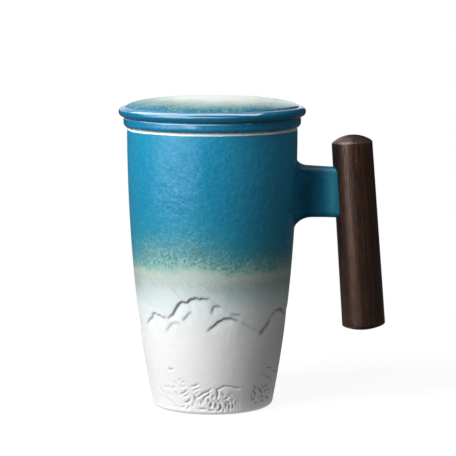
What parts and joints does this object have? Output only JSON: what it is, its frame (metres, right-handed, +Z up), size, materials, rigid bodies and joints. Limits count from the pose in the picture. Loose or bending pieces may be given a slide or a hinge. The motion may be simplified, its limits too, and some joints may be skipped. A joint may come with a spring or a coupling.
{
  "type": "lidded tea mug with strainer",
  "caption": "Tall tapered ceramic tea mug with a low domed lift-off lid, a lift-out ceramic strainer and a round wooden handle held by a side lug, for steeping and drinking tea.",
  "frame": {"origin": "on the mug's axis, in the plane of the foot ring that it stands on", "axes": "+Z up along the mug's axis, +X from the axis towards the handle"},
  "size_m": [0.1271, 0.0886, 0.1476],
  "materials": {
    "mug_glaze": "satin speckled blue glaze that fades through a sand band to white",
    "lug_glaze": "satin blue glaze",
    "glue": "cured glue",
    "handle_wood": "oiled dark hardwood",
    "strainer_glaze": "white glaze with a blue collar",
    "lid_glaze": "blue glaze that pales towards the middle"
  },
  "bodies": {
    "mug": {"mug_body": "mug_glaze", "handle_lug": "lug_glaze", "handle_glue": "glue", "wood_handle": "handle_wood"},
    "strainer": {"strainer": "strainer_glaze"},
    "lid": {"lid": "lid_glaze"}
  },
  "joints": [
    {"name": "strainer_lift", "type": "slide", "parent": "mug", "child": "strainer", "axis": [0, 0, 1], "range_m": [0, 0.095]},
    {"name": "lid_lift", "type": "slide", "parent": "strainer", "child": "lid", "axis": [0, 0, 1], "range_m": [0, 0.04]}
  ]
}
